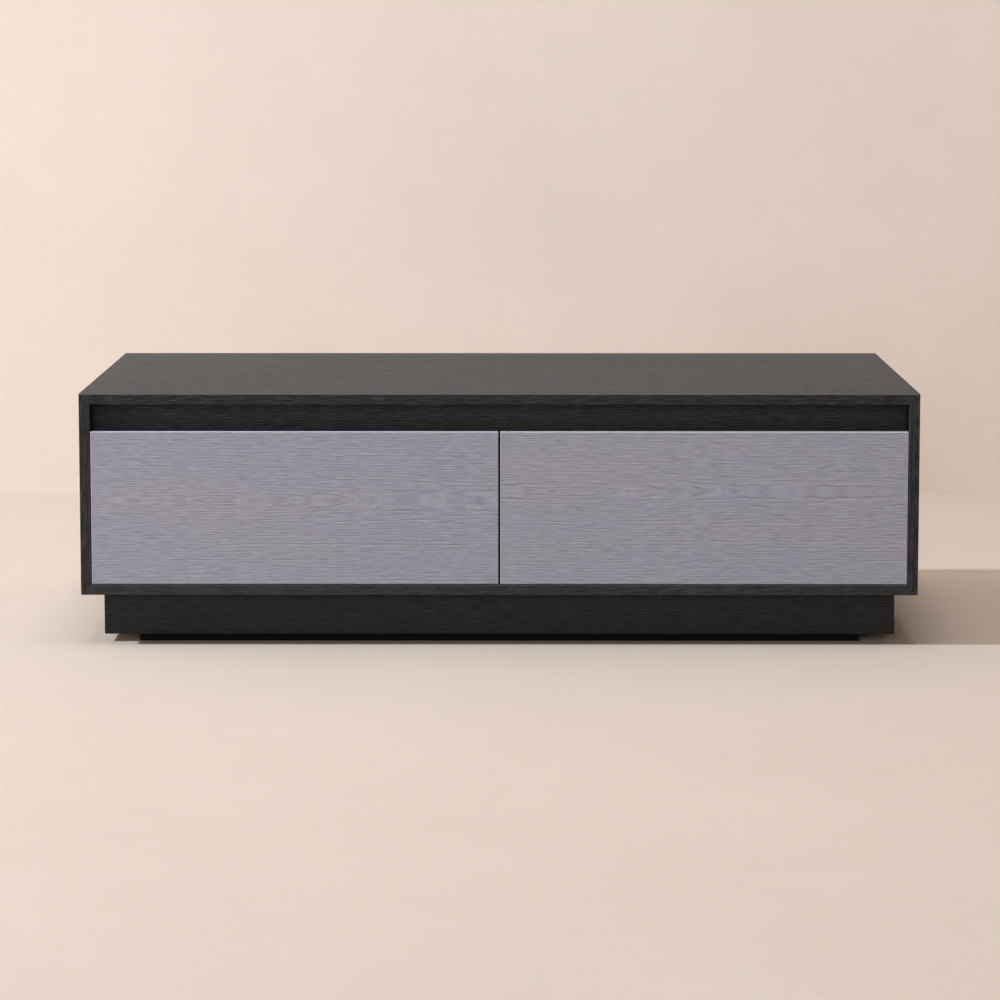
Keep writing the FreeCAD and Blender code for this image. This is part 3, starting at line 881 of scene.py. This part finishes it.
class Scatter:
    """Geometry Nodes that set a shape on every point of a mesh."""

    def __init__(self, name: str, inputs: dict[str, str]) -> None:
        """Start a tree with its own inputs and those that every scatter has.

        Args:
            name: The tree's name.
            inputs: The kind of socket for each of its own inputs.
        """
        self.tree = bpy.data.node_groups.new(name, "GeometryNodeTree")
        face = self.tree.interface
        face.new_socket("Geometry", in_out="OUTPUT", socket_type="NodeSocketGeometry")
        for label, kind in {"Geometry": "Geometry", "Finish": "Material", **inputs}.items():
            face.new_socket(label, in_out="INPUT", socket_type=f"NodeSocket{kind}")
        self.source = self.add("NodeGroupInput", {}).outputs

    def add(self, kind: str, inputs: Inputs, **settings: Any) -> Node:
        """Add a node to this tree, as add_node does."""
        return add_node(self.tree, kind, inputs, **settings)

    def end(self, shape: Source, places: Inputs) -> None:
        """Close the tree: shapes on the points, made real and given a finish.

        Args:
            shape: The geometry to repeat.
            places: The rotation and scale of the instances.
        """
        many = self.add("GeometryNodeInstanceOnPoints", {
            "Points": self.source["Geometry"], "Instance": shape, **places})
        real = self.add("GeometryNodeRealizeInstances", {"Geometry": many})
        dressed = self.add("GeometryNodeSetMaterial", {
            "Geometry": real, "Material": self.source["Finish"]})
        self.add("NodeGroupOutput", {"Geometry": dressed})

    def grow(self, name: str, points: list[Point], facing: list[Point],
             values: dict[str, Any]) -> Object:
        """Run the tree on some points and keep the result as a plain mesh.

        Args:
            name: The new piece's name.
            points: Where the shapes go.
            facing: The direction that each shape looks in.
            values: The tree's inputs by name.

        Returns:
            The new object, which has no modifier.
        """
        seeds = bpy.data.meshes.new(f"{name}_points")
        seeds.from_pydata(points, [], [])
        looks = seeds.attributes.new("facing", "FLOAT_VECTOR", "POINT")
        for spot, way in zip(looks.data, facing):
            spot.vector = way
        holder = put(f"{name}_points", seeds)
        modifier = holder.modifiers.new("scatter", "NODES")
        modifier.node_group = self.tree
        for item in self.tree.interface.items_tree:
            if item.in_out == "INPUT" and item.name in values:
                modifier[item.identifier] = values[item.name]
        depsgraph = bpy.context.evaluated_depsgraph_get()
        mesh = bpy.data.meshes.new_from_object(holder.evaluated_get(depsgraph))
        mesh.name = name
        bpy.data.objects.remove(holder)
        bpy.data.meshes.remove(seeds)
        return put(name, mesh)


class BallRow(Scatter):
    """Bearing balls set on points, each a smooth sphere of the ball's size.

    Attributes:
        ROUNDING: How often the faces of a ball are split.
    """

    ROUNDING = 3

    def __init__(self) -> None:
        """Build the tree for balls."""
        super().__init__("bearing_balls", {"Diameter": "Float"})
        half = self.add("ShaderNodeMath", {0: self.source["Diameter"], 1: 0.5},
                        operation="MULTIPLY")
        ball = self.add("GeometryNodeMeshIcoSphere", {"Radius": half,
                                                      "Subdivisions": self.ROUNDING})
        self.end(self.add("GeometryNodeSetShadeSmooth", {"Geometry": ball}), {})


class ScrewRow(Scatter):
    """Screw heads set on points, each turned to the face it is driven into.

    Attributes:
        head: The pan head with a cross recess that the tree repeats.
        SEED: Where the chance that turns each cross starts.
        RADIUS, HEIGHT: Half the head's width, and how far it stands up.
        SIDES: How many corners go round the head.
        PROFILE: The head's outline from its seat to its top, as shares of both.
        ARM, HALF: The length and half the width of the cross's arms, as shares of the radius.
        TAPER, BED: The width and the level of the cross's bed, as shares of its mouth's.
    """

    SEED = 11
    RADIUS, HEIGHT = 4.0 * MM, 2.4 * MM
    SIDES = 24
    PROFILE = ((1.0, 0.0), (1.0, 0.35), (0.94, 0.66), (0.8, 0.9), (0.62, 1.0))
    ARM, HALF = 0.5, 0.13
    TAPER, BED = 0.7, 0.4

    def __init__(self) -> None:
        """Build the head and the tree that repeats it."""
        super().__init__("driven_screws", {"Screw": "Object", "Size": "Vector", "Seed": "Int"})
        looks = self.add("GeometryNodeInputNamedAttribute", {"Name": "facing"},
                         data_type="FLOAT_VECTOR")
        aim = self.add("FunctionNodeAlignRotationToVector", {"Vector": looks}, axis="Z")
        turn = self.add("FunctionNodeRandomValue", {
            "Max": 2.0 * math.pi, "Seed": self.source["Seed"]}, data_type="FLOAT")
        spin = self.add("FunctionNodeAxisAngleToRotation", {
            "Axis": (0.0, 0.0, 1.0), "Angle": turn})
        aim = self.add("FunctionNodeRotateRotation", {
            "Rotation": aim, "Rotate By": spin}, rotation_space="LOCAL")
        head = self.add("GeometryNodeObjectInfo", {"Object": self.source["Screw"]})
        self.end(head.outputs["Geometry"], {"Rotation": aim, "Scale": self.source["Size"]})
        self.head = self.pan_head()

    @staticmethod
    def around(loop: list[Any]) -> list[tuple[Any, Any]]:
        """Pair each corner of a loop with the next one."""
        return list(zip(loop, loop[1:] + loop[:1]))

    def pan_head(self) -> Object:
        """Make a pan head with a cross recess.

        Returns:
            The head, with its seat at the origin and its top along Z.
        """
        shell = bmesh.new()
        steps = [2.0 * math.pi * i / self.SIDES for i in range(self.SIDES)]
        rings = [[shell.verts.new((self.RADIUS * r * math.cos(step),
                                   self.RADIUS * r * math.sin(step), self.HEIGHT * z))
                  for step in steps] for r, z in self.PROFILE]
        corners = []
        for quarter in range(4):
            c, s = math.cos(quarter * math.pi / 2.0), math.sin(quarter * math.pi / 2.0)
            for x, y in ((self.HALF, -self.HALF), (self.ARM, -self.HALF), (self.ARM, self.HALF)):
                corners.append((self.RADIUS * (c * x - s * y), self.RADIUS * (s * x + c * y)))
        mouth, bed = (
            [shell.verts.new((width * x, width * y, level * self.HEIGHT)) for x, y in corners]
            for width, level in ((1.0, 1.0), (self.TAPER, self.BED)))
        # The rings climb and the cross goes down, so both walls have their faces outwards
        for low, high in (*zip(rings, rings[1:]), (mouth, bed)):
            for (a, b), (c, d) in zip(self.around(low), self.around(high)):
                shell.faces.new((a, b, d, c))
        shell.faces.new(tuple(reversed(rings[0])))
        for rims in ((rings[-1], mouth), (bed,)):
            edges = [shell.edges.get(pair) for rim in rims for pair in self.around(rim)]
            bmesh.ops.triangle_fill(shell, edges=edges, use_beauty=True)
        bmesh.ops.recalc_face_normals(shell, faces=shell.faces)
        mesh = bpy.data.meshes.new("pan_head")
        shell.to_mesh(mesh)
        shell.free()
        return put("pan_head", mesh)

    def drive(self, name: str, points: list[Point], facing: list[Point], size: Point,
              finish: Material) -> Object:
        """Set screw heads on points and return them as one piece.

        Args:
            name: The new piece's name.
            points: Where the heads' seats are.
            facing: The way that each head looks.
            size: The head's scale in its own axes.
            finish: The heads' material.

        Returns:
            The new piece.
        """
        return self.grow(name, points, facing, {
            "Screw": self.head, "Size": size, "Seed": self.SEED, "Finish": finish})

    def put_away(self) -> None:
        """Remove the pattern head once every screw is driven."""
        mesh = self.head.data
        bpy.data.objects.remove(self.head)
        bpy.data.meshes.remove(mesh)


@dataclass
class Slides:
    """The telescopic ball-bearing slides of both drawers.

    Attributes:
        shares: Where the screws sit along a rail, as shares of its length.
        small_head: The scale of a screw head that lies flush in a rail's slot.
        seat: How far the seat of a head lies off the back of the rail.
        ball: The width of a ball.
        zinc: The rails' and screws' finish.
    """

    shares: tuple[float, ...] = (0.1, 0.5, 0.9)
    small_head: Point = (0.55, 0.55, 0.36)
    seat: float = 0.15 * MM
    ball: float = 3.5 * MM
    zinc: Material = field(default_factory=RolledSteel(
        "steel_cold_rolled_zinc_plated", "#c9ccd0", "#b9bdc1", (0.3, 0.36), bloom_mm=3.0).make)

    def dress(self, nodes: dict[str, Object]) -> None:
        """Give the rails, cages and balls their finishes and draw round balls.

        Args:
            nodes: The frame's objects by name.
        """
        cage = RolledSteel("steel_pressed_cage", "#a8a79f", "#85847d", (0.35, 0.5)).make()
        polished = RolledSteel("steel_ground_polished_ball", "#d4d6d8", "#c0c3c6", (0.08, 0.16),
                               streak_mm=(3.0, 3.0, 3.0), bloom_mm=2.0).make()
        rows = BallRow()
        for side in Side:
            for hand in Side:
                for member in ("cabinet", "middle", "drawer"):
                    wear(nodes[f"{side.drawer()}_{hand.value}_{member}_rail"], self.zinc)
            for stage in ("outer", "inner"):
                wear(nodes[f"{side.drawer()}_{stage}_cages"], cage)
                name = f"{side.drawer()}_{stage}_balls"
                body = f"{side.value}_{stage}_cages"
                low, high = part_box(name)
                # Rows lie at the box's corners, with a ball at each end and one in the middle
                size = min(high[2] - low[2], self.ball)
                half = Vector((size, size, size)) / 2.0
                low, high = low + half, high - half
                points = [(x, y, z) for x in (low.x, high.x) for z in (low.z, high.z)
                          for y in (low.y, (low.y + high.y) / 2.0, high.y)]
                piece = rows.grow(f"{name}_round", points, [(0.0, 0.0, 1.0)] * len(points),
                                  {"Diameter": size, "Finish": polished})
                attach(piece, body)
                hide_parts(name)
                LOG.info("%s rolls with %s", piece.name, body)

    def drive(self, screws: ScrewRow) -> None:
        """Drive the screws of the rails, flush in their slots.

        Args:
            screws: The tree that sets screw heads.
        """
        for side in Side:
            for member, body in (("cabinet", "carcass"), ("drawer", side.drawer())):
                points, facing = [], []
                for hand in Side:
                    low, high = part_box(f"{side.drawer()}_{hand.value}_{member}_rail")
                    # The cabinet rail's back lies on the case and the drawer rail's on the box
                    rightward = (hand is Side.LEFT) == (member == "cabinet")
                    way = 1.0 if rightward else -1.0
                    back = (low.x if rightward else high.x) + way * self.seat
                    for share in self.shares:
                        points.append((back, low.y + (high.y - low.y) * share,
                                       (low.z + high.z) / 2.0))
                        facing.append((way, 0.0, 0.0))
                piece = screws.drive(f"{side.drawer()}_{member}_rail_screws", points, facing,
                                     self.small_head, self.zinc)
                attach(piece, body)
                LOG.info("%s rides on %s", piece.name, body)


@dataclass
class Drawer:
    """One drawer: a front painted grey-lilac on a dovetailed birch box.

    Attributes:
        side: Which drawer.
        figure: How the growth rings lie in the front.
        boards: The grain and the heart of each board of the box.
        lean: How far the heart of those boards moves across the grain for each metre.
        seed_step: How far the noise moves from one board of the box to the next.
        screw_shares: Where the front's screws sit across and up the box.
    """

    side: Side
    figure: Figure
    boards: tuple[tuple[str, Grain, Pair], ...] = (
        ("box_front", Grain.X, (-0.35, 0.05)), ("box_back", Grain.X, (0.3, 0.05)),
        ("box_left_side", Grain.Y, (-0.4, 0.06)), ("box_right_side", Grain.Y, (0.4, 0.05)),
        ("box_floor", Grain.X, (0.0, 0.02)))
    lean: Pair = (0.04, 0.02)
    seed_step: float = 2.7
    screw_shares: tuple[Pair, Pair] = ((0.15, 0.85), (0.3, 0.75))

    def dress(self, nodes: dict[str, Object]) -> None:
        """Give the front and the box their finishes.

        Args:
            nodes: The frame's objects by name.
        """
        name = self.side.drawer()
        wear(nodes[f"{name}_front"], OakVeneer(
            name=f"oak_veneer_painted_grey_lilac_{self.side.value}", figure=self.figure,
            # The pale arris colour is partly wear and partly a painted highlight, and the gleam
            # also paints a highlight on the grooves' lips
            tones=("#a09da4", "#9d9ba6"), line="#77757c", early_wood_and_lip_highlight="#b6b6bc", pore="#8b8891",
            worn_and_highlight="#dcdae4", line_mm=4.2, groove_mm=1.2, run_mm=42.0, line_share=0.7,
            gleam_share=0.65, fibre_share=0.45, shade_share=0.25, roughness=(0.48, 0.62),
            specular=0.3, relief_mm=0.3, sway_mm=2.5, heart_slope=2.0).make())
        seed = self.figure.seed
        for role, grain, heart in self.boards:
            seed += self.seed_step
            wear(nodes[f"{name}_{role}"], PlanedTimber(
                f"birch_planed_{name}_{role}", Figure(grain, heart, lean=self.lean, seed=seed),
                pale="#ceb792", band="#bc9f72", fleck="#a48356", end="#b5976b").make())

    def drive(self, screws: ScrewRow, finish: Material) -> None:
        """Drive the screws that hold the front, from inside the box.

        Args:
            screws: The tree that sets screw heads.
            finish: The screws' material.
        """
        name = self.side.drawer()
        low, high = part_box(f"{name}_box_front")
        points = [(low.x + (high.x - low.x) * across, high.y, low.z + (high.z - low.z) * up)
                  for across in self.screw_shares[0] for up in self.screw_shares[1]]
        piece = screws.drive(f"{name}_front_screws", points, [(0.0, 1.0, 0.0)] * len(points),
                             (1.0, 1.0, 1.0), finish)
        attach(piece, name)
        LOG.info("%s rides on %s", piece.name, name)


@dataclass(frozen=True)
class Lamp:
    """One soft disc lamp.

    Attributes:
        name: The lamp's name.
        place: Where it hangs.
        size: The disc's diameter.
        power: Its power in watts.
        tint: Its colour.
        aim: The point that it faces.
    """

    name: str
    place: Point
    size: float
    power: float
    tint: Point
    aim: Point = (0.0, -0.3, 0.2)

    def hang(self) -> None:
        """Hang the lamp where the camera doesn't see it."""
        data = bpy.data.lights.new(self.name, "AREA")
        data.shape, data.size, data.energy = "DISK", self.size, self.power
        data.color = self.tint
        lamp = put(self.name, data)
        lamp.location = self.place
        way = Vector(self.aim) - Vector(self.place)
        lamp.rotation_euler = way.to_track_quat("-Z", "Y").to_euler()
        lamp.visible_camera = False


@dataclass
class Studio:
    """The pale room that the table stands in, with its light and the camera.

    Attributes:
        reach: How far the floor runs from the middle.
        wall_y: Where the wall stands behind the table.
        wall_height: How high the wall is.
        horizon: The fill light that comes in level.
        zenith: The fill light that comes from above.
        climb: How high the fill begins and ends to pass from one to the other.
        distance: The colour that is seen past the floor and the wall.
        lamps: The key on the left, one lamp overhead and two weak ones in front. They are
            cool, which evens out the warm light off the floor and the wall.
        lens_mm, sensor_mm: The camera's lens and the width of its sensor.
        shift: How far the picture is shifted down, as a share of its width.
        sight: How far the camera sees.
        eye: Where the camera stands.
        pitch, turn: How far it looks down and to the left, in degrees.
    """

    reach: float = 14.0
    wall_y: float = 1.262
    wall_height: float = 7.0
    horizon: Colour = (0.33, 0.33, 0.33, 1.0)
    zenith: Colour = (0.10, 0.10, 0.10, 1.0)
    climb: Pair = (0.1, 0.8)
    distance: str = "#e4d2c3"
    lamps: tuple[Lamp, ...] = (
        Lamp("key_lamp", (-6.6, -0.85, 5.6), 0.45, 790.0, (0.86, 1.0, 1.17), (0.0, 0.0, 0.1)),
        Lamp("overhead_lamp", (0.0, -0.6, 7.5), 3.0, 245.0, (0.97, 1.0, 1.04)),
        Lamp("front_lamp", (-1.0, -8.5, 2.6), 3.0, 155.0, (0.92, 1.0, 1.09)),
        Lamp("left_lamp", (-3.6, -2.6, 0.5), 0.8, 22.0, (0.92, 1.0, 1.09)))
    lens_mm: float = 121.38
    sensor_mm: float = 36.0
    shift: float = -0.12
    sight: float = 60.0
    eye: Point = (0.0148, -5.0751, 0.8893)
    pitch: float = 6.05
    turn: float = 0.165

    def build(self) -> None:
        far, back, top = self.reach, self.wall_y, self.wall_height
        floor = self.sheet("studio_floor", (
            (-far, -far, 0.0), (far, -far, 0.0), (far, far, 0.0), (-far, far, 0.0)))
        wall = self.sheet("studio_wall", (
            (-far, back, 0.0), (far, back, 0.0), (far, back, top), (-far, back, top)))
        for piece, part, wash in ((floor, "floor", ("#beac9c", "#baa898")),
                                  (wall, "wall", ("#eedbca", "#e8d5c4"))):
            wear(piece, LimewashedPlaster(f"plaster_{part}_limewashed_beige", wash).make())

    @staticmethod
    def sheet(name: str, corners: tuple[Point, ...]) -> Object:
        """Make a flat face through four corners.

        Args:
            name: The object's name.
            corners: The corners, anticlockwise seen from the face's front.

        Returns:
            The new object.
        """
        mesh = bpy.data.meshes.new(name)
        mesh.from_pydata(corners, [], [tuple(range(len(corners)))])
        return put(name, mesh)

    def light(self) -> None:
        """Set the world's fill, which the camera and mirrors see as a plain wall, and the lamps."""
        world = bpy.data.worlds.new("studio_fill")
        bpy.context.scene.world = world
        world.use_nodes = True
        tree = world.node_tree
        tree.nodes.clear()
        place = add_node(tree, "ShaderNodeTexCoord", {})
        split = add_node(tree, "ShaderNodeSeparateXYZ", {0: place.outputs["Generated"]})
        climb = add_node(tree, "ShaderNodeMapRange", {
            "Value": split.outputs["Z"], FROM: self.climb})
        sky = add_node(tree, "ShaderNodeMix", {
            "Factor": climb, "A": self.horizon, "B": self.zenith}, data_type="RGBA")
        path = add_node(tree, "ShaderNodeLightPath", {})
        bare = path.outputs["Is Camera Ray"]
        for ray in ("Is Glossy Ray", "Is Transmission Ray"):
            bare = add_node(tree, "ShaderNodeMath", {0: bare, 1: path.outputs[ray]},
                            operation="MAXIMUM")
        seen = add_node(tree, "ShaderNodeMix", {
            "Factor": bare, "A": sky, "B": srgb(self.distance)}, data_type="RGBA")
        back = add_node(tree, "ShaderNodeBackground", {"Color": seen})
        add_node(tree, "ShaderNodeOutputWorld", {"Surface": back})
        for lamp in self.lamps:
            lamp.hang()

    def camera(self) -> None:
        """Set the camera that matches the photograph's view."""
        data = bpy.data.cameras.new("camera")
        data.lens, data.sensor_width, data.shift_y = self.lens_mm, self.sensor_mm, self.shift
        data.clip_end = self.sight
        piece = put("camera", data)
        piece.location = self.eye
        piece.rotation_euler = (math.radians(90.0 - self.pitch), 0.0, math.radians(self.turn))
        bpy.context.scene.camera = piece


def main() -> None:
    """Build and dress the table in its studio."""
    logging.basicConfig(level=logging.INFO, format="%(name)s: %(message)s")
    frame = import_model()
    bpy.context.scene.view_settings.view_transform = "Standard"
    nodes = frame["nodes"]
    studio = Studio()
    studio.camera()
    studio.light()
    studio.build()
    Carcass().dress(nodes)
    drawers = (
        Drawer(Side.LEFT, Figure(Grain.X, (-0.304, 0.210), -0.44, (0.075, 0.0), 0.28, seed=41.0)),
        Drawer(Side.RIGHT, Figure(Grain.X, (-0.304, 0.223), 0.04, (0.075, 0.0), 0.28, seed=47.5)))
    slides = Slides()
    slides.dress(nodes)
    screws = ScrewRow()
    slides.drive(screws)
    for drawer in drawers:
        drawer.dress(nodes)
        drawer.drive(screws, slides.zinc)
    screws.put_away()


if __name__ == "__main__":
    main()
